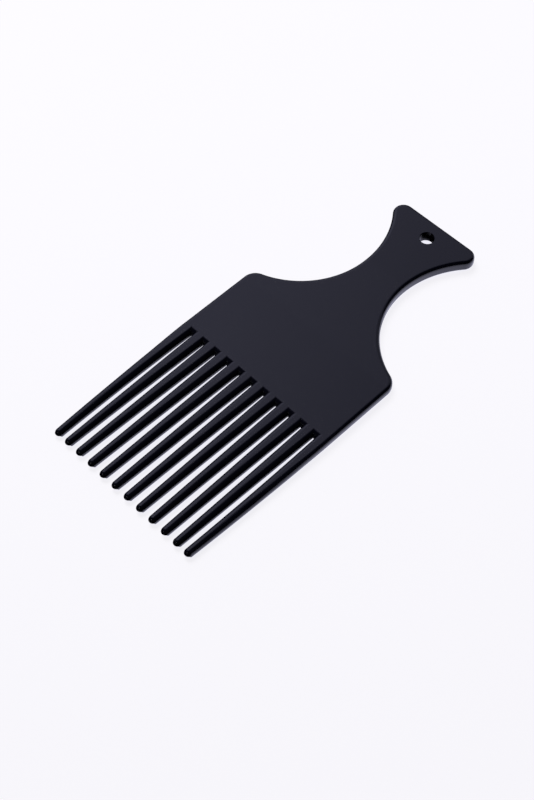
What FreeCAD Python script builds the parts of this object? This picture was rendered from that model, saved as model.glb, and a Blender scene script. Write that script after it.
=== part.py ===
import FreeCAD, Part
import os

# Afro pick: one flat moulding with a fishtail grip, a flared neck, a comb plate and a row of long round-edged tines.
# Lengths are in millimetres. X runs along the row, Y from the tine tips to the grip end, Z up from the flat back.
# The regions of the moulding are separate solids that meet face to face across its whole section.

# Lengths along Y, stacked from the tine tips to the grip end
tine_length = 63.8
plate_side_length = 32.45
shoulder_to_neck = 38.65
neck_to_grip_end = 32.0
total_length = tine_length + plate_side_length + shoulder_to_neck + neck_to_grip_end

# Widths and corner radii of the outline
grip_end_width = 39.3
grip_corner_radius = 4.3
neck_width = 19.8
shoulder_radius = 6.0

# Thickness: even along the grip and along the plate, with a slope between them and another down the tines
grip_thickness = 4.9
plate_thickness = 4.15
tine_tip_thickness = 3.3

# The row of tines: each tapers evenly from the slot heads to its tip
tine_count = 12
tine_pitch = 6.3
slot_head_gap = 1.0
tine_tip_width = 3.25
end_tine_trim = 0.5
stub_length = 1.0
plate_width = (tine_count - 1) * tine_pitch + (tine_pitch - slot_head_gap) - end_tine_trim

# How far a tine's tip stands in towards the middle of the row, from the outermost tine inwards
tip_leans = [1.25, 0.35]

# Hanging hole in the middle of the grip
hole_radius = 2.95
hole_to_grip_end = 8.1

# Edge rounding of the whole moulding: a share of the smallest wall, which the tips of the tines have
edge_round_share = 0.47
edge_round = edge_round_share * min(tine_tip_width, tine_tip_thickness)

# Overrun of cuts, and how near a point counts as lying on a line
overrun = 2.0
reach = 0.001

# Stations along Y, measured from the tine tips
root_y = tine_length - stub_length
shoulder_y = tine_length + plate_side_length
neck_y = shoulder_y + shoulder_to_neck


def point(x, y, z=0):
    return FreeCAD.Vector(x, y, z)


def tine_width(y):
    """Width of a tine, which grows evenly from its tip to the slot heads."""
    return tine_tip_width + (tine_pitch - slot_head_gap - tine_tip_width) * y / tine_length


def arc(centre, radius, start, end):
    """The shorter arc about a centre between two of its points."""
    middle = (start - centre) + (end - centre)
    return Part.Arc(start, centre + middle.normalize() * radius, end).toShape()


def flank_radius(corner_x, corner_radius, height):
    """Radius of the hollow flank that leaves the neck along Y and meets a round corner without a break.

    The corner's centre lies corner_x from the middle line and height from the neck.
    """
    step = neck_width / 2 - corner_x
    return (step ** 2 + height ** 2 - corner_radius ** 2) / (2 * (corner_radius - step))


def slab(contour, low, high, low_height, high_height):
    """A contour on the flat back, raised to a front face that runs evenly from one height to another along Y."""
    prism = Part.Face(Part.Wire(Part.__sortEdges__(contour))).extrude(point(0, 0, low_height + high_height))
    slope = (high_height - low_height) / (high - low)
    first = low - overrun
    last = high + overrun
    corners = [
        point(0, first, -overrun),
        point(0, last, -overrun),
        point(0, last, high_height + slope * overrun),
        point(0, first, low_height - slope * overrun),
    ]
    side_view = Part.Face(Part.makePolygon(corners + corners[:1]))
    wedge = side_view.extrude(point(2 * plate_width, 0))
    wedge.translate(point(-plate_width, 0))
    return prism.common(wedge)


def rounded(solid, cuts):
    """The solid with its rim rounded, apart from the upright edges and the edges on the cuts across Y."""
    picked = []
    for edge in solid.Edges:
        box = edge.BoundBox
        upright = box.XLength < reach and box.YLength < reach
        on_cut = any(abs(box.YMin - y) < reach and abs(box.YMax - y) < reach for y in cuts)
        if not upright and not on_cut:
            picked.append(edge)
    return solid.makeFillet(edge_round, picked)


def fishtail_grip():
    """The flared end that the hand holds, with its hanging hole."""
    corner_y = total_length - grip_corner_radius
    corner_x = grip_end_width / 2 - grip_corner_radius
    radius = flank_radius(corner_x, grip_corner_radius, corner_y - neck_y)
    contour = [Part.makeLine(point(-neck_width / 2, neck_y), point(neck_width / 2, neck_y))]
    contour.append(Part.makeLine(point(-corner_x, total_length), point(corner_x, total_length)))
    for side in (-1, 1):
        corner = point(side * corner_x, corner_y)
        flank = point(side * (neck_width / 2 + radius), neck_y)
        corner_side = corner + (flank - corner).normalize() * grip_corner_radius
        contour.append(arc(corner, grip_corner_radius, point(corner.x, total_length), corner_side))
        contour.append(arc(flank, radius, corner_side, point(side * neck_width / 2, neck_y)))
    solid = rounded(slab(contour, neck_y, total_length, grip_thickness, grip_thickness), [neck_y])
    hole = Part.makeCylinder(hole_radius, grip_thickness + 2 * overrun)
    hole.translate(point(0, total_length - hole_to_grip_end, -overrun))
    return solid.cut(hole)


def flared_neck():
    """The narrow neck, which spreads through hollow flanks to the round shoulders of the plate."""
    shoulder_x = plate_width / 2 - shoulder_radius
    radius = flank_radius(shoulder_x, shoulder_radius, neck_y - shoulder_y)
    contour = [Part.makeLine(point(-neck_width / 2, neck_y), point(neck_width / 2, neck_y))]
    contour.append(Part.makeLine(point(-plate_width / 2, shoulder_y), point(plate_width / 2, shoulder_y)))
    for side in (-1, 1):
        shoulder = point(side * shoulder_x, shoulder_y)
        flank = point(side * (neck_width / 2 + radius), neck_y)
        shoulder_top = shoulder + (flank - shoulder).normalize() * shoulder_radius
        contour.append(arc(shoulder, shoulder_radius, point(side * plate_width / 2, shoulder_y), shoulder_top))
        contour.append(arc(flank, radius, shoulder_top, point(side * neck_width / 2, neck_y)))
    solid = slab(contour, shoulder_y, neck_y, plate_thickness, grip_thickness)
    return rounded(solid, [shoulder_y, neck_y])


def comb_plate():
    """The broad plate that carries the tines on short stubs between the heads of the slots."""
    corners = [point(-plate_width / 2, root_y)]
    for index in range(1, tine_count):
        centre_x = (index - tine_count / 2) * tine_pitch
        foot = (tine_pitch - tine_width(root_y)) / 2
        head = slot_head_gap / 2
        corners.append(point(centre_x - foot, root_y))
        corners.append(point(centre_x - head, tine_length))
        corners.append(point(centre_x + head, tine_length))
        corners.append(point(centre_x + foot, root_y))
    corners.append(point(plate_width / 2, root_y))
    corners.append(point(plate_width / 2, shoulder_y))
    corners.append(point(-plate_width / 2, shoulder_y))
    contour = [Part.makeLine(*pair) for pair in zip(corners, corners[1:] + corners[:1])]
    solid = slab(contour, root_y, shoulder_y, plate_thickness, plate_thickness)
    return rounded(solid, [root_y, shoulder_y])


def tine(index):
    """One tine, which tapers from its root to its rounded tip. The outer ones lean in towards the row."""
    order = min(index, tine_count - 1 - index)
    side = -1 if index < tine_count / 2 else 1
    lean = tip_leans[order] if order < len(tip_leans) else 0
    trim = end_tine_trim / 2 if order == 0 else 0
    middle = (index - (tine_count - 1) / 2) * tine_pitch
    root = tine_width(root_y) / 2
    tip = tine_tip_width / 2
    corners = [
        point(middle - root + (trim if side < 0 else 0), root_y),
        point(middle - tip - side * lean, 0),
        point(middle + tip - side * lean, 0),
        point(middle + root - (trim if side > 0 else 0), root_y),
    ]
    contour = [Part.makeLine(*pair) for pair in zip(corners, corners[1:] + corners[:1])]
    solid = slab(contour, 0, root_y, tine_tip_thickness, plate_thickness)
    picked = [edge for edge in solid.Edges if edge.BoundBox.YMin < root_y - reach]
    return solid.makeFillet(edge_round, picked)


def main():
    os.makedirs("parts", exist_ok=True)
    nodes = {
        "fishtail_grip": fishtail_grip(),
        "flared_neck": flared_neck(),
        "comb_plate": comb_plate(),
    }
    for index in range(tine_count):
        nodes["tine_%02d" % (index + 1)] = tine(index)
    for name, shape in nodes.items():
        # The origin moves to the middle of the length, on the flat back
        shape.translate(point(0, -total_length / 2))
        shape.exportStep("parts/" + name + ".step")


main()
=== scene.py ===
import math

import bpy
import numpy as np
from bpy.props import FloatProperty, FloatVectorProperty, IntProperty, PointerProperty
from mathutils import Matrix, Vector


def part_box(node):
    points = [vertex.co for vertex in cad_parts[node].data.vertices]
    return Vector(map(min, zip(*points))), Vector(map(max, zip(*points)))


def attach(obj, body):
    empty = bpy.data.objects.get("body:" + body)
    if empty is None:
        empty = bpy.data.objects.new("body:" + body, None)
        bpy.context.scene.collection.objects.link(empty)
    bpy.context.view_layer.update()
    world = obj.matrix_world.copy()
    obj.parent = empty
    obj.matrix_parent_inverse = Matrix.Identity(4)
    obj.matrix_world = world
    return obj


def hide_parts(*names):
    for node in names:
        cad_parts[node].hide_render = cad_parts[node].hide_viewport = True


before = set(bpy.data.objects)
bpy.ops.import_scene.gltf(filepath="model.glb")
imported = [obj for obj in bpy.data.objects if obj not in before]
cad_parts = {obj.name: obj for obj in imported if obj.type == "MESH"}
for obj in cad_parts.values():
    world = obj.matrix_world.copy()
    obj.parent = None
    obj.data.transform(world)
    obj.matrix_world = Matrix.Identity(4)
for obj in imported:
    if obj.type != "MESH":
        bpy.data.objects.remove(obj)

bl_info = {
    "name": "Fishtail hair pick",
    "version": (1, 0, 0),
    "blender": (4, 5, 0),
    "location": "3D View > Sidebar > Hair pick",
    "description": "Dresses the packed hair pick with moulded surfaces and sets a plain studio round it",
    "category": "Object",
}

# Lengths are in metres. X runs along the row, Y from the tine tips to the grip end, Z up from the flat back.
TINES = sorted(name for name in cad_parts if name.startswith("tine_"))

# Stations along Y and half-widths of the moulding, read from the frame
TIP_Y = min(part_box(name)[0].y for name in TINES)
ROOT_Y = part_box("comb_plate")[0].y
SHOULDER_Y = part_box("flared_neck")[0].y
NECK_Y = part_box("fishtail_grip")[0].y
END_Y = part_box("fishtail_grip")[1].y
PLATE_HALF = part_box("comb_plate")[1].x
GRIP_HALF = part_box("fishtail_grip")[1].x

# Largest steps along an arc, and numbers of points along other stretches of the outlines
ARC_TURN = math.radians(3)
ARC_STEP = 0.0005
GRIP_END_POINTS = 12
PLATE_SIDE_POINTS = 24
TINE_SIDE_POINTS = 48
HOLE_POINTS = 96

# Flat step inside every rounding, and its largest share of what a rounding leaves flat on half a tine
FLAT_STEP = 0.0001
FLAT_SHARE = 0.4

# Angle between two faces from which their shared edge is shaded as a sharp one
SHARP_ANGLE = math.radians(40)


# Settings


def length_setting(name, default, description):
    return FloatProperty(name=name, description=description, default=default, unit="LENGTH")


def angle_setting(name, degrees, description):
    return FloatProperty(name=name, description=description, default=math.radians(degrees), subtype="ANGLE")


def number_setting(name, default, description, low=0, high=1):
    return FloatProperty(name=name, description=description, default=default, min=low, max=high)


def point_setting(name, default, description):
    return FloatVectorProperty(
        name=name, description=description, default=default, subtype="TRANSLATION", size=3,
    )


def colour_setting(name, default, description, high=1):
    """A colour, whose channels may pass 1 where it stands for light."""
    return FloatVectorProperty(
        name=name, description=description, default=default, min=0, max=high, subtype="COLOR", size=3,
    )


class PickShape(bpy.types.PropertyGroup):
    """Sizes of the moulding that the frame's boxes don't give."""

    neck_half: length_setting("Neck half-width", 0.0099, "Half of the narrowest width of the neck")
    corner_radius: length_setting("Grip corner", 0.0043, "Radius of the fishtail's two corners in plan")
    shoulder_radius: length_setting("Shoulder", 0.0060, "Radius of the plate's shoulders in plan")
    grip_thickness: length_setting("Grip thickness", 0.0049, "Thickness along the grip")
    plate_thickness: length_setting("Plate thickness", 0.00415, "Thickness along the comb plate")
    tip_thickness: length_setting("Tip thickness", 0.0033, "Thickness at the tips of the tines")
    pitch: length_setting("Pitch", 0.0063, "Distance between the middles of two tines")
    head_gap: length_setting("Slot head", 0.0010, "Gap between two tines at the head of their slot")
    head_depth: length_setting("Slot depth", 0.0010, "How far a slot reaches into the comb plate")
    tip_width: length_setting("Tip width", 0.00325, "Width that a tine tapers to at its tip")
    outer_lean: length_setting("Outer lean", 0.00125, "How far the outermost tines bend in at their tips")
    second_lean: length_setting("Second lean", 0.00035, "How far the next tines bend in at their tips")
    rim_rounding: length_setting("Rim rounding", 0.0015, "Edge radius round the grip, neck and plate")
    slot_rounding: length_setting("Slot rounding", 0.0016, "Edge radius at the upper ends of the slots")
    slot_growth: number_setting("Rounding growth", 0.0145, "Growth of that radius per length down a tine")
    head_rounding: length_setting("Head rounding", 0.00215, "Reach of the rounding at a slot's head")
    tine_share: number_setting("Roundness", 0.495, "Largest share of a wall for a rounding", 0.1, 0.499)
    blend_length: length_setting("Side blend", 0.018, "Length over which an end tine's outer side rounds")
    nose_height: length_setting("Nose height", 0.0018, "Height of the foremost edge of a tip over the floor")
    nose_edge: length_setting("Nose edge", 0.00003, "Height of the narrow face round a tip")
    nose_top: number_setting("Nose top", 2, "Power of the curve over a tip, 1 for a straight slope", 1, 3)
    nose_hollow: number_setting("Nose hollow", 1.3, "Power of the curve under a tip", 1, 3)
    nose_reach: number_setting("Nose reach", 0.75, "How squarely the outline faces ahead at a full nose", 0.1)
    under_share: number_setting("Under share", 0.78, "Rounding of a tine's back edges over its front's", 0.1)
    mitre_share: number_setting("Mitre share", 0.04, "Share of a slot head that a corner shades over", 0.01)
    hole_radius: length_setting("Hole radius", 0.00295, "Radius of the hanging hole")
    hole_inset: length_setting("Hole inset", 0.0081, "Middle of the hanging hole to the end of the grip")
    hole_edge: length_setting("Hole edge", 0.00012, "Edge radius of the hanging hole")
    round_steps: IntProperty(name="Rounding steps", description="Faces across a rounding", default=12, min=4)


class PickFinish(bpy.types.PropertyGroup):
    """Colour and gloss of the moulded plastic."""

    colour: colour_setting("Colour", (0.0012, 0.0013, 0.0040), "Colour of the plastic")
    colour_swing: number_setting("Colour swing", 0.15, "Share by which the colour's depth varies")
    roughness: number_setting("Roughness", 0.22, "Mean roughness of the moulded skin")
    flow_swing: number_setting("Flow swing", 0.08, "How much the roughness varies with the plastic's flow")
    grain_swing: number_setting("Grain swing", 0.04, "How much the roughness varies with the fine grain")
    grain: length_setting("Grain", 0.000002, "Height of the fine grain left by the mould")
    swell_share: number_setting("Swell share", 2, "Height of the low swells over that of the grain", 0, 10)


class PickStudio(bpy.types.PropertyGroup):
    """Camera, floor and light."""

    focal: number_setting("Focal length", 62.147, "Focal length over a 36 mm long side", 10, 500)
    azimuth: angle_setting("Azimuth", -44.838, "Side of the camera, from +X towards +Y")
    elevation: angle_setting("Elevation", 56.411, "Height of the camera above the horizon")
    roll: angle_setting("Roll", 0.103, "Turn of the camera about its own axis")
    distance: length_setting("Distance", 0.4979, "Camera to the point that it looks at")
    target: point_setting("Target", (0.007539, -0.019215, 0), "Point on the floor that the camera looks at")

    floor_colour: colour_setting("Floor", (0.937, 0.926, 0.963), "Colour of the paper floor")
    fibre_depth: number_setting("Fibres", 0.01, "Share by which the fibres darken the paper")
    floor_glow: number_setting("Glow", 1.07, "Brightness of the lit sheet under the paper", 0, 10)
    glow_share: number_setting("Glow share", 0.87, "Share of the lit sheet in what is seen of the floor")
    floor_fade: number_setting("Fade", 0.04, "Share of the lit sheet's brightness lost towards the camera")
    fade_start: length_setting("Fade start", -0.15, "Where that loss starts, from the middle to the camera")
    fade_end: length_setting("Fade end", 0.35, "Where that loss is full, from the middle to the camera")
    # Painted shade: the floor's colour turns cooler between the tines and in the hanging hole, as far off
    # walls as the reach below
    painted_nook_shade: colour_setting("Nook", (0.934, 0.933, 1.033), "Colour of the lit sheet between the tines", 2)
    nook_reach: length_setting("Nook reach", 0.007, "How far off walls still shade the floor between them")

    # Painted reflection and painted shade of the floor as the plastic mirrors it: a bluer tint, black before
    # the tips, a painted shadow disc in the hanging hole, and black towards -X
    painted_mirror_tint: colour_setting("Mirrored floor", (1, 1, 1.34), "Colour of the mirrored lit sheet", 2)
    front_dark: length_setting("Front dark", 0.0012, "How far before the tips the mirrored floor turns black")
    front_lit: length_setting("Front lit", 0.0004, "How far behind the tips it is fully lit")
    left_blend: number_setting("Left blend", 0.2, "Slant of a ray towards -X at which it meets a black floor")
    shade_place: point_setting("Shade", (0.0010, 0.0760, 0), "Middle of the shaded floor in the hanging hole")
    shade_radius: length_setting("Shade radius", 0.0031, "Radius of that shade with its soft edge")
    shade_core: number_setting("Shade core", 0.7, "Share of that radius that is fully dark")

    room_light: number_setting("Room", 0.25, "Brightness of the pale wall's slope straight up", 0, 10)
    room_colour: colour_setting("Room colour", (1, 1, 1.38), "Colour of the pale wall", 2)
    key_power: number_setting("Key power", 19, "Power of the large soft lamp in watts", 0, 1000)
    key_place: point_setting("Key place", (-0.75, 0.25, 1.25), "Place of the large soft lamp")
    key_size: length_setting("Key size", 0.9, "Diameter of the large soft lamp")
    low_power: number_setting("Low power", 0.25, "Power of the small low lamp in watts", 0, 1000)
    low_place: point_setting("Low place", (-0.05, -0.89, 0.435), "Place of the small low lamp")
    low_target: point_setting("Low target", (0, -0.08, 0), "Point that the small low lamp shines on")
    low_size: length_setting("Low size", 0.12, "Diameter of the small low lamp")


# Outline in plan


def line(start, end, inward, count):
    """Evenly spaced points from start to end, all with the same inward direction."""
    share = np.linspace(0, 1, count)[:, None]
    points = np.array(start) + (np.array(end) - np.array(start)) * share
    return points, np.tile(np.array(inward, float), (count, 1))


def arc(centre, radius, start, end, hollow=False):
    """Points centre + radius (cos a, sin a) for a from start to end, in steps within ARC_TURN and ARC_STEP.

    The inward direction points to the centre, or away from it where the outline is hollow.
    """
    turn = abs(end - start)
    count = int(max(turn / ARC_TURN, turn * radius / ARC_STEP)) + 2
    angle = np.linspace(start, end, count)
    spoke = np.stack([np.cos(angle), np.sin(angle)], 1)
    return np.array(centre) + radius * spoke, spoke if hollow else -spoke


def join(*stretches):
    """Stretches of outline in one, without the points that two neighbours share."""
    points, inward = stretches[0]
    for more_points, more_inward in stretches[1:]:
        points = np.vstack([points, more_points[1:]])
        inward = np.vstack([inward, more_inward[1:]])
    return points, inward


def mirrored(stretch):
    """The same stretch on the other side of the middle line, run the other way."""
    points, inward = stretch
    flip = np.array([-1.0, 1.0])
    return points[::-1] * flip, inward[::-1] * flip


def flank_radius(shape, corner_x, corner_radius, height):
    """Radius of the hollow flank that leaves the neck along Y and meets a round corner without a break."""
    step = shape.neck_half - corner_x
    return (step ** 2 + height ** 2 - corner_radius ** 2) / (2 * (corner_radius - step))


def grip_side(shape):
    """Right side of the fishtail: a hollow arc from the neck, a round corner and the end up to the middle."""
    centre = np.array([GRIP_HALF - shape.corner_radius, END_Y - shape.corner_radius])
    radius = flank_radius(shape, centre[0], shape.corner_radius, centre[1] - NECK_Y)
    hollow = np.array([shape.neck_half + radius, NECK_Y])
    turn = math.atan2(centre[1] - hollow[1], centre[0] - hollow[0])
    return join(
        arc(hollow, radius, math.pi, turn, hollow=True),
        arc(centre, shape.corner_radius, turn - math.pi, math.pi / 2),
        line((centre[0], END_Y), (0, END_Y), (0, -1), GRIP_END_POINTS),
    )


def neck_side(shape):
    """Right side of the neck: a round shoulder, then a hollow arc up to the narrowest place."""
    centre = np.array([PLATE_HALF - shape.shoulder_radius, SHOULDER_Y])
    radius = flank_radius(shape, centre[0], shape.shoulder_radius, NECK_Y - SHOULDER_Y)
    hollow = np.array([shape.neck_half + radius, NECK_Y])
    turn = math.atan2(centre[1] - hollow[1], centre[0] - hollow[0])
    return join(
        arc(centre, shape.shoulder_radius, 0, turn + math.pi),
        arc(hollow, radius, turn + 2 * math.pi, math.pi, hollow=True),
    )


def thickness(shape, y):
    """Height of the front face: even along grip and plate, and evenly sloped along neck and tines."""
    stations = (TIP_Y, ROOT_Y, SHOULDER_Y, NECK_Y)
    heights = (shape.tip_thickness, shape.plate_thickness, shape.plate_thickness, shape.grip_thickness)
    return np.interp(y, stations, heights)


def widening(shape):
    """How much a tine widens per length from its tip to the head of the slot."""
    return (shape.pitch - shape.head_gap - shape.tip_width) / (ROOT_Y + shape.head_depth - TIP_Y)


def tine_width(shape, y):
    """Width of a tine, which grows evenly from its tip to the head of the slot."""
    return shape.tip_width + widening(shape) * (y - TIP_Y)


def slot_radius(shape, y):
    """Edge radius of a tine in plan: it grows down the tine until the tine is fully round."""
    grown = shape.slot_rounding + shape.slot_growth * (ROOT_Y - y)
    return np.minimum(grown, shape.tine_share * tine_width(shape, y))


def eased(share):
    """A share s kept between 0 and 1 and given a soft start and end, as 3 s^2 - 2 s^3."""
    share = np.clip(share, 0, 1)
    return share * share * (3 - 2 * share)


def slot_side(shape, middle):
    """One slot head: up its left wall, along its straight head and down its right wall.

    Its two corners are sharp, and the inward direction there is the sum of those of the two walls, so that
    the rounded edges are mitred. More columns of the same surfaces lie close by on both sides of a corner,
    so that the smooth shading turns only there.
    """
    head = ROOT_Y + shape.head_depth
    half = shape.head_gap / 2
    foot = (shape.pitch - tine_width(shape, ROOT_Y)) / 2
    reach = shape.head_rounding / shape.slot_rounding
    corners = np.array([
        (-foot, ROOT_Y, -1, 0),
        (-half, head, -1, reach),
        (half, head, 1, reach),
        (foot, ROOT_Y, 1, 0),
    ])
    near = shape.mitre_share
    way = np.array([0, 1 - near, 1, 1 + near, 2 - near, 2, 2 + near, 3])
    columns = np.stack([np.interp(way, np.arange(4), values) for values in corners.T], 1)
    return columns[:, :2] + [middle, 0], columns[:, 2:]


def cap_y(shape):
    """Where a tine's round end starts. It meets the slanting sides at their full width there."""
    return TIP_Y + shape.tip_width / (2 - widening(shape))


def tine_side(shape, index):
    """Outline of one tine: down its left side, round its end, and up its right side.

    The middle line is x = middle - lean u^2 and the sides lie half a width from it, where u grows from 0 at
    the root to 1 at the tip. The third result tells which points belong to the outer side of an end tine.
    """
    count = len(TINES)
    order = min(index, count - 1 - index)
    outward = -1 if index < count / 2 else 1
    lean = [shape.outer_lean, shape.second_lean, 0][min(order, 2)] * outward
    middle = (index - (count - 1) / 2) * shape.pitch
    y = np.linspace(ROOT_Y, cap_y(shape), TINE_SIDE_POINTS)
    u = (ROOT_Y - y) / (ROOT_Y - TIP_Y)
    half = tine_width(shape, y) / 2
    sides = []
    for side in (-1, 1):
        x = middle - lean * u ** 2 + side * half
        if order == 0 and side == outward:
            x = x + (PLATE_HALF * side - x[0]) * (1 - u)
        inward = np.stack([np.full_like(y, -side), side * np.gradient(x, y)], 1)
        inward /= np.linalg.norm(inward, axis=1)[:, None]
        inward[0] = (-side, 0)
        sides.append((np.stack([x, y], 1), inward))
    (left, left_in), (right, right_in) = sides
    centre = (left[-1] + right[-1]) / 2
    radius = (right[-1, 0] - left[-1, 0]) / 2
    cap, cap_in = arc(centre, radius, math.pi, 2 * math.pi)
    points = np.vstack([left, cap[1:-1], right[::-1]])
    inward = np.vstack([left_in, cap_in[1:-1], right_in[::-1]])
    outer = (points[:, 0] - centre[0]) * outward > 0
    return points, inward, outer & (order == 0)


# Rounded slab


def rounded_wall(shape, points, inward, radius, rise, flat, under=1.0, nose=0.0):
    """Wall of the slab along an outline, as a grid of points: one column from front to back at each point.

    A column starts on the front face, a small flat step inside the rounding. It runs down a quarter
    ellipse, straight down the wall, round a second quarter ellipse and a small step in on the back. With a
    the angle on the ellipse, a point lies radius (1 - cos a) inside the outline and rise (1 - sin a) from
    the face, and the back's ellipse has the share under of both. Where nose is above 0, the column is mixed
    by that share with a nose's, whose front falls with a power of cos a to the nose's height, and whose
    back rises to it with another.
    """
    values = (radius, rise, flat, under, nose)
    radius, rise, flat, under, nose = [np.broadcast_to(value, len(points)) for value in values]
    under = 1 - (1 - under) * (1 - nose)
    angle = np.linspace(math.pi / 2, 0, shape.round_steps + 1)
    into = np.concatenate([[1], 1 - np.cos(angle)])
    drop = np.concatenate([[0], 1 - np.sin(angle)])
    step = np.zeros_like(into)
    step[0] = 1
    edge = shape.nose_edge / 2
    sides = []
    for share in (np.ones_like(under), under):
        inset = np.outer(radius * share, into) + np.outer(flat, step)
        place = points[:, None, :] + inward[:, None, :] * inset[..., None]
        sides.append((place, np.outer((1 - nose) * rise * share, drop)))
    (front_place, front_drop), (back_place, back_drop) = sides
    over = nose * (thickness(shape, points[:, 1]) - shape.nose_height - edge)
    below = nose * (shape.nose_height - edge)
    cosine = 1 - into
    front_z = thickness(shape, front_place[..., 1]) - front_drop - np.outer(over, cosine ** shape.nose_top)
    back_z = back_drop + np.outer(below, cosine ** shape.nose_hollow)
    xy = np.concatenate([front_place, back_place[:, ::-1]], 1)
    z = np.concatenate([front_z, back_z[:, ::-1]], 1)
    return np.concatenate([xy, z[..., None]], 2)


def numbered(wall, first):
    """Vertex numbers of a wall's grid of points, counted column by column from first."""
    count, height = wall.shape[:2]
    return first + np.arange(count * height).reshape(count, height)


def strip_faces(grid, following):
    """Quads between each column of vertex numbers and the one that follows it."""
    quads = np.stack([grid[:, :-1], grid[:, 1:], following[:, 1:], following[:, :-1]], -1)
    return quads.reshape(-1, 4).tolist()


def halves(outer, inner, end):
    """Right and left part of a face with a hole, split along the middle line, on which end is a point."""
    middle = len(outer) // 2
    half = len(inner) // 2
    right = outer[:middle + 1] + inner[:half + 1] + [end]
    left = outer[middle:] + [end] + inner[half:] + inner[:1]
    return [right, left]


def slab(name, walls, hole=None):
    """Closed slab from the walls of its outline, given anticlockwise, with a flat cut between two walls.

    A slab with a hole has one wall. Its cut gets a middle point on the front and on the back, where the split
    of these two faces ends.
    """
    vertices = np.vstack([wall.reshape(-1, 3) for wall in walls])
    grids = []
    for wall in walls:
        grids.append(numbered(wall, sum(grid.size for grid in grids)))
    faces = []
    cuts = []
    for grid, following in zip(grids, grids[1:] + grids[:1]):
        faces += strip_faces(grid[:-1], grid[1:])
        cuts.append(grid[-1].tolist() + following[0][::-1].tolist())
    front = np.concatenate([grid[:, 0] for grid in grids]).tolist()
    back = np.concatenate([grid[:, -1] for grid in grids]).tolist()
    if hole is None:
        faces += cuts + [front, back[::-1]]
    else:
        front_end = len(vertices)
        back_end = front_end + 1
        ring = numbered(hole, front_end + 2)
        ends = vertices[[front[0], back[0]]] * [0, 1, 1]
        vertices = np.vstack([vertices, ends, hole.reshape(-1, 3)])
        height = ring.shape[1]
        faces.append(cuts[0][:height] + [back_end] + cuts[0][height:] + [front_end])
        faces += strip_faces(ring, np.roll(ring, -1, 0))
        faces += halves(front, ring[:, 0].tolist(), front_end)
        faces += [face[::-1] for face in halves(back, ring[:, -1].tolist(), back_end)]
    mesh = bpy.data.meshes.new(name)
    mesh.from_pydata(vertices.tolist(), [], faces)
    mesh.validate()
    mesh.update()
    mesh.shade_smooth()
    mesh.set_sharp_from_angle(angle=SHARP_ANGLE)
    piece = bpy.data.objects.new(name, mesh)
    bpy.context.scene.collection.objects.link(piece)
    return piece


def rim_wall(shape, points, inward):
    """Wall with the rounding of the moulding's rim."""
    return rounded_wall(shape, points, inward, shape.rim_rounding, shape.rim_rounding, FLAT_STEP)


def make_grip(shape):
    outer = rim_wall(shape, *join(grip_side(shape), mirrored(grip_side(shape))))
    angle = math.pi / 2 - np.linspace(0, 2 * math.pi, HOLE_POINTS, endpoint=False)
    spoke = np.stack([np.cos(angle), np.sin(angle)], 1)
    ring = np.array([0, END_Y - shape.hole_inset]) + shape.hole_radius * spoke
    hole = rounded_wall(shape, ring, spoke, shape.hole_edge, shape.hole_edge, FLAT_STEP)
    return slab("grip_shell", [outer], hole)


def make_neck(shape):
    right = neck_side(shape)
    return slab("neck_shell", [rim_wall(shape, *right), rim_wall(shape, *mirrored(right))])


def make_plate(shape):
    """Comb plate: straight sides with the rim's rounding, and slot heads rounded to half the thickness."""
    right = line((PLATE_HALF, ROOT_Y), (PLATE_HALF, SHOULDER_Y), (-1, 0), PLATE_SIDE_POINTS)
    walls = [rim_wall(shape, *mirrored(right))]
    count = len(TINES)
    radius = shape.slot_rounding
    rise = shape.tine_share * shape.plate_thickness
    for index in range(1, count):
        points, inward = slot_side(shape, (index - count / 2) * shape.pitch)
        walls.append(rounded_wall(shape, points, inward, radius, rise, FLAT_STEP, shape.under_share))
    walls.append(rim_wall(shape, *right))
    return slab("plate_shell", walls)


def make_tine(shape, index):
    """One tine, rounded to half its thickness, whose round end turns into a nose where it faces ahead.

    The outer side of an end tine starts with the rim's rounding at the root and turns to the tine's own.
    """
    points, inward, outer = tine_side(shape, index)
    y = np.maximum(points[:, 1], cap_y(shape))
    share = np.where(outer, eased((ROOT_Y - y) / shape.blend_length), 1)
    radius = shape.rim_rounding + (slot_radius(shape, y) - shape.rim_rounding) * share
    rise = shape.rim_rounding + (shape.tine_share * thickness(shape, y) - shape.rim_rounding) * share
    under = 1 + (shape.under_share - 1) * share
    spare = np.maximum(tine_width(shape, y) / 2 - slot_radius(shape, y), 0)
    flat = np.minimum(FLAT_STEP, FLAT_SHARE * spare)
    nose = np.where(points[:, 1] < cap_y(shape), eased(inward[:, 1] / shape.nose_reach), 0)
    wall = rounded_wall(shape, points, inward, radius, rise, flat, under, nose)
    return slab("tine_shell_%02d" % (index + 1), [wall])


# Shader maths


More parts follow.
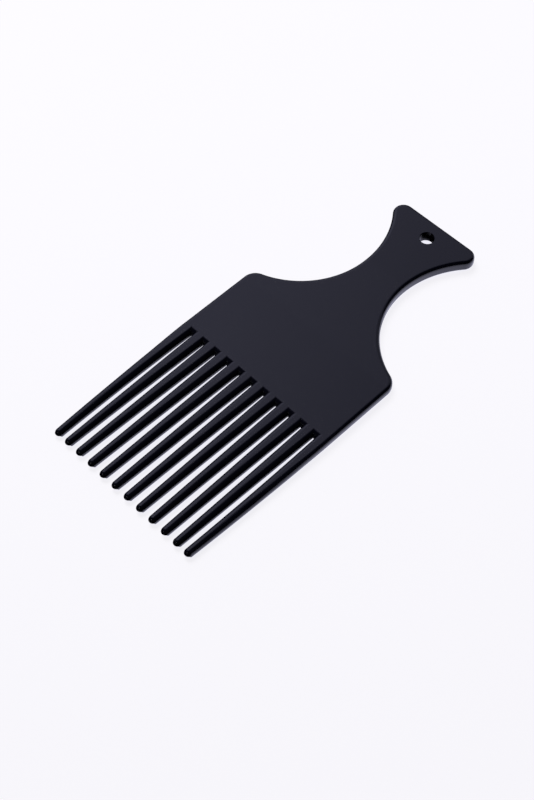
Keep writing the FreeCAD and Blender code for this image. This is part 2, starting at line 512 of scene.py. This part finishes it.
class Wire:
    """An output in a node tree, with arithmetic that adds nodes. Without a socket it stands for the tree."""

    def __init__(self, tree, socket=None):
        self.tree = tree
        self.socket = socket

    def node(self, kind, settings=None, inputs=None, output=0):
        """Adds a node: its settings first, then the values or wires of its inputs, and returns one output."""
        made = self.tree.nodes.new(kind)
        for key, value in (settings or {}).items():
            setattr(made, key, value)
        for key, value in (inputs or {}).items():
            if isinstance(value, Wire):
                self.tree.links.new(value.socket, made.inputs[key])
            else:
                made.inputs[key].default_value = value
        if len(made.outputs):
            return Wire(self.tree, made.outputs[output])

    def math(self, operation, *values):
        return self.node("ShaderNodeMath", {"operation": operation}, dict(enumerate(values)))

    def __add__(self, other):
        return self.math("ADD", self, other)

    def __radd__(self, other):
        return self.math("ADD", other, self)

    def __sub__(self, other):
        return self.math("SUBTRACT", self, other)

    def __rsub__(self, other):
        return self.math("SUBTRACT", other, self)

    def __mul__(self, other):
        return self.math("MULTIPLY", self, other)

    def __rmul__(self, other):
        return self.math("MULTIPLY", other, self)

    def smooth(self, low, high):
        """0 below low, 1 above high, and a smooth rise between."""
        return self.node("ShaderNodeMapRange", {"interpolation_type": "SMOOTHSTEP"},
                         {"Value": self, "From Min": low, "From Max": high})

    def dot(self, other):
        """Dot product of two vectors."""
        return self.node("ShaderNodeVectorMath", {"operation": "DOT_PRODUCT"}, {0: self, 1: other}, "Value")

    def distance(self, other):
        """Distance between two points."""
        return self.node("ShaderNodeVectorMath", {"operation": "DISTANCE"}, {0: self, 1: other}, "Value")

    def noise(self, scale, detail):
        """Soft noise at a point, from 0 to 1."""
        inputs = {"Vector": self, "Scale": scale, "Detail": detail}
        return self.node("ShaderNodeTexNoise", None, inputs, "Fac")

    def blend(self, low, high):
        """The colour low where the wire is 0, high where it is 1, and a mix of both between."""
        inputs = {"Factor": self, "A": low, "B": high}
        return self.node("ShaderNodeMix", {"data_type": "RGBA"}, inputs, "Result")


def solid(colour, share=1.0):
    """A colour times a share, as a node's socket takes it."""
    return tuple(share * channel for channel in colour) + (1,)


def material(name):
    made = bpy.data.materials.new(name)
    made.use_nodes = True
    made.node_tree.nodes.clear()
    return made, Wire(made.node_tree)


def moulded_plastic(finish):
    """Black plastic from a polished mould: a faint flow of tone and gloss, and fine grain over low swells."""
    made, tree = material("moulded_black_plastic")
    place = tree.node("ShaderNodeTexCoord", output="Object")
    flow = place.noise(scale=60, detail=3)
    grain = place.noise(scale=2600, detail=2)
    swell = place.noise(scale=120, detail=1)
    deepest = solid(finish.colour, 1 - finish.colour_swing)
    palest = solid(finish.colour, 1 + finish.colour_swing)
    tone = flow.blend(deepest, palest)
    roughness = finish.roughness + (flow - 0.5) * finish.flow_swing + (grain - 0.5) * finish.grain_swing
    bump = tree.node("ShaderNodeBump", inputs={
        "Strength": 1.0, "Distance": finish.grain, "Height": grain + swell * finish.swell_share,
    })
    surface = tree.node("ShaderNodeBsdfPrincipled", inputs={
        "Base Color": tone, "Roughness": roughness, "Normal": bump, "IOR": 1.5,
    })
    tree.node("ShaderNodeOutputMaterial", inputs={"Surface": surface})
    return made


# Shares of open sky between which the mirrored sheet comes to show, which paints shade into reflections near
# walls, and between which the seen sheet's colour turns from the painted nook shade to the floor's own
MIRROR_SKY = (0.08, 0.3)
NOOK_SHADE_SKY = (0.1, 0.7)


def painted_mirror_shade(tree, place, studio):
    """Painted shade on the floor as the pick mirrors it: how dark, from 0 to 1.

    It is painted dark in front of the tips, as if a black card stood there, painted as the pick's own shadow
    in a disc in the hanging hole, and painted dark wherever the plastic looks towards -X.
    """
    front = 1 - place.dot((0, 1, 0)).smooth(TIP_Y - studio.front_dark, TIP_Y + studio.front_lit)
    off_hole = place.distance(tuple(studio.shade_place))
    hole = 1 - off_hole.smooth(studio.shade_core * studio.shade_radius, studio.shade_radius)
    origin = tree.node("ShaderNodeNewGeometry", output="Incoming")
    left = origin.dot((1, 0, 0)).smooth(0, studio.left_blend)
    return tree.math("MAXIMUM", tree.math("MAXIMUM", front, hole), left)


def paper_floor(studio):
    """Matt white paper with barely seen fibres, over a lit sheet that fades a little towards the camera.

    Painted shade: the lit sheet is painted cooler between the tines and in the hanging hole, where walls
    leave little sky open. As the pick mirrors it, it shows less there too, it takes a painted bluer tint, and
    it is painted black in front of the tips, in the hanging hole and towards -X.
    """
    made, tree = material("white_paper")
    place = tree.node("ShaderNodeTexCoord", output="Object")
    camera = tree.node("ShaderNodeLightPath", output="Is Camera Ray")
    mirror = tree.node("ShaderNodeLightPath", output="Is Glossy Ray")
    fibre = place.noise(scale=900, detail=4)
    tone = fibre.blend(solid(studio.floor_colour, 1 - studio.fibre_depth), solid(studio.floor_colour))
    # Painted shade that only reflections see: there the paper is painted black and its glow dimmed
    dark = mirror * painted_mirror_shade(tree, place, studio)
    paper = tree.node("ShaderNodeBsdfPrincipled", inputs={
        "Base Color": dark.blend(tone, (0, 0, 0, 1)), "Roughness": 0.9, "Specular IOR Level": 0.0,
    })
    sky = tree.node("ShaderNodeAmbientOcclusion", {"samples": 8}, {"Distance": studio.nook_reach}, "AO")
    # Painted shade: the seen sheet turns to the cooler nook colour where little sky is open
    seen_tint = sky.smooth(*NOOK_SHADE_SKY).blend(solid(studio.painted_nook_shade), tone)
    # Painted reflection: the mirrored sheet takes a bluer tint than the seen one
    tint = mirror.blend(seen_tint, solid(studio.painted_mirror_tint))
    nearer = place.dot((math.cos(studio.azimuth), math.sin(studio.azimuth), 0))
    fade = studio.floor_fade * nearer.smooth(studio.fade_start, studio.fade_end)
    strength = studio.floor_glow * (1 - fade) * (1 - dark)
    glow = tree.node("ShaderNodeEmission", inputs={"Color": tint, "Strength": strength})
    # Painted shade in reflections: near walls the mirrored sheet shows less
    shown = tree.math("MAXIMUM", camera, mirror * sky.smooth(*MIRROR_SKY))
    surface = tree.node("ShaderNodeMixShader", inputs={0: shown * studio.glow_share, 1: paper, 2: glow})
    tree.node("ShaderNodeOutputMaterial", inputs={"Surface": surface})
    return made


def dress(piece, finish, *nodes):
    """Gives a piece its plastic, and lets it stand for CAD nodes on the one body."""
    plastic = bpy.data.materials.get("moulded_black_plastic") or moulded_plastic(finish)
    piece.data.materials.append(plastic)
    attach(piece, "root")
    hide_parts(*nodes)


# Studio


# How far a direction leans away from the camera, towards +Y and up, at the dark and the lit end of each
# soft edge of the pale wall
NEAR_EDGE = (0.30, 0.38)
TIPS_EDGE = (-0.5, 0.1)
FOOT_EDGE = (0.05, 0.6)

# Slope of the wall's brightness over direction, its limits, its share at the foot, and the dark room's light
WALL_SLOPE = (-1.642, -0.831, 0)
WALL_LIMITS = (0.3, 0.72)
FOOT_SHARE = 0.4
DARK_LIGHT = 0.008

FLOOR_HALF = 3.0


def aim(place, target):
    """Turns an object's -Z from place to target."""
    return (Vector(target) - Vector(place)).to_track_quat("-Z", "Y")


def camera_matrix(studio):
    """Camera axes as columns: right and up turned by the roll, and back along azimuth and elevation."""
    azimuth, elevation, roll = studio.azimuth, studio.elevation, studio.roll
    level = Vector((math.cos(azimuth), math.sin(azimuth), 0))
    back = math.cos(elevation) * level + Vector((0, 0, math.sin(elevation)))
    across = Vector((-math.sin(azimuth), math.cos(azimuth), 0))
    above = back.cross(across)
    right = math.cos(roll) * across + math.sin(roll) * above
    up = math.cos(roll) * above - math.sin(roll) * across
    axes = Matrix((right, up, back)).transposed()
    return Matrix.Translation(Vector(studio.target) + studio.distance * back) @ axes.to_4x4()


def add_lamp(name, place, target, size, power, mirrored_too):
    lamp = bpy.data.lights.new(name, "AREA")
    lamp.shape = "DISK"
    lamp.size = size
    lamp.energy = power
    holder = bpy.data.objects.new(name, lamp)
    holder.location = place
    holder.rotation_mode = "QUATERNION"
    holder.rotation_quaternion = aim(place, target)
    holder.visible_glossy = mirrored_too
    holder.visible_camera = False
    bpy.context.scene.collection.objects.link(holder)


def room(studio):
    """A pale wall on the far side of the pick, in a dark room. The camera itself sees white.

    Brightness is a function of direction alone. The wall begins where a direction leans away from the
    camera and ends towards the tips' side. It is dimmer at its foot, and brighter towards -X and -Y between
    two limits.
    """
    world = bpy.data.worlds.new("studio_room")
    bpy.context.scene.world = world
    world.use_nodes = True
    world.node_tree.nodes.clear()
    tree = Wire(world.node_tree)
    way = tree.node("ShaderNodeTexCoord", output="Generated")
    away = way.dot((-math.cos(studio.azimuth), -math.sin(studio.azimuth), 0))
    level = way.dot(WALL_SLOPE) + studio.room_light
    level = tree.math("MINIMUM", tree.math("MAXIMUM", level, WALL_LIMITS[0]), WALL_LIMITS[1])
    inside = away.smooth(*NEAR_EDGE) * way.dot((0, 1, 0)).smooth(*TIPS_EDGE)
    foot = FOOT_SHARE + (1 - FOOT_SHARE) * way.dot((0, 0, 1)).smooth(*FOOT_EDGE)
    light = inside * level * foot + DARK_LIGHT
    camera = tree.node("ShaderNodeLightPath", output="Is Camera Ray")
    tint = camera.blend(solid(studio.room_colour), (1, 1, 1, 1))
    strength = light + (1 - light) * camera
    ground = tree.node("ShaderNodeBackground", inputs={"Color": tint, "Strength": strength})
    tree.node("ShaderNodeOutputWorld", inputs={"Surface": ground})


def set_stage(studio):
    scene = bpy.context.scene
    corners = [(x * FLOOR_HALF, y * FLOOR_HALF, 0) for x, y in ((-1, -1), (1, -1), (1, 1), (-1, 1))]
    floor_mesh = bpy.data.meshes.new("floor")
    floor_mesh.from_pydata(corners, [], [(0, 1, 2, 3)])
    floor = bpy.data.objects.new("floor", floor_mesh)
    floor.data.materials.append(paper_floor(studio))
    scene.collection.objects.link(floor)

    camera = bpy.data.cameras.new("camera")
    camera.lens = studio.focal
    camera.sensor_width = 36
    camera.sensor_fit = "AUTO"
    camera.clip_start = 0.01
    holder = bpy.data.objects.new("camera", camera)
    holder.matrix_world = camera_matrix(studio)
    scene.collection.objects.link(holder)
    scene.camera = holder

    add_lamp("key_lamp", studio.key_place, (0, 0, 0), studio.key_size, studio.key_power, False)
    add_lamp("low_lamp", studio.low_place, studio.low_target, studio.low_size, studio.low_power, True)
    room(studio)
    scene.view_settings.view_transform = "Standard"


# Operators and panel


class PICK_OT_grip(bpy.types.Operator):
    """Build the fishtail grip with its hanging hole"""

    bl_idname = "pick.make_grip"
    bl_label = "Fishtail grip"

    def execute(self, context):
        scene = context.scene
        dress(make_grip(scene.pick_shape), scene.pick_finish, "fishtail_grip")
        return {"FINISHED"}


class PICK_OT_neck(bpy.types.Operator):
    """Build the flared neck"""

    bl_idname = "pick.make_neck"
    bl_label = "Flared neck"

    def execute(self, context):
        scene = context.scene
        dress(make_neck(scene.pick_shape), scene.pick_finish, "flared_neck")
        return {"FINISHED"}


class PICK_OT_plate(bpy.types.Operator):
    """Build the comb plate with its slot heads"""

    bl_idname = "pick.make_plate"
    bl_label = "Comb plate"

    def execute(self, context):
        scene = context.scene
        dress(make_plate(scene.pick_shape), scene.pick_finish, "comb_plate")
        return {"FINISHED"}


class PICK_OT_tines(bpy.types.Operator):
    """Build the row of tines"""

    bl_idname = "pick.make_tines"
    bl_label = "Tines"

    def execute(self, context):
        scene = context.scene
        for index, node in enumerate(TINES):
            dress(make_tine(scene.pick_shape, index), scene.pick_finish, node)
        return {"FINISHED"}


class PICK_OT_stage(bpy.types.Operator):
    """Set the floor, the camera and the light"""

    bl_idname = "pick.set_stage"
    bl_label = "Studio"

    def execute(self, context):
        set_stage(context.scene.pick_studio)
        return {"FINISHED"}


OPERATORS = (PICK_OT_grip, PICK_OT_neck, PICK_OT_plate, PICK_OT_tines, PICK_OT_stage)


class PICK_PT_panel(bpy.types.Panel):
    """Lists the steps that dress the pick"""

    bl_label = "Hair pick"
    bl_idname = "PICK_PT_panel"
    bl_space_type = "VIEW_3D"
    bl_region_type = "UI"
    bl_category = "Hair pick"

    def draw(self, context):
        for operator in OPERATORS:
            self.layout.operator(operator.bl_idname)


CLASSES = (PickShape, PickFinish, PickStudio) + OPERATORS + (PICK_PT_panel,)


def register():
    for cls in CLASSES:
        bpy.utils.register_class(cls)
    bpy.types.Scene.pick_shape = PointerProperty(type=PickShape)
    bpy.types.Scene.pick_finish = PointerProperty(type=PickFinish)
    bpy.types.Scene.pick_studio = PointerProperty(type=PickStudio)


def unregister():
    del bpy.types.Scene.pick_studio
    del bpy.types.Scene.pick_finish
    del bpy.types.Scene.pick_shape
    for cls in reversed(CLASSES):
        bpy.utils.unregister_class(cls)


def main():
    register()
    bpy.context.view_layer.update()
    bpy.ops.pick.make_grip()
    bpy.ops.pick.make_neck()
    bpy.ops.pick.make_plate()
    bpy.ops.pick.make_tines()
    bpy.ops.pick.set_stage()


if __name__ == "__main__":
    main()
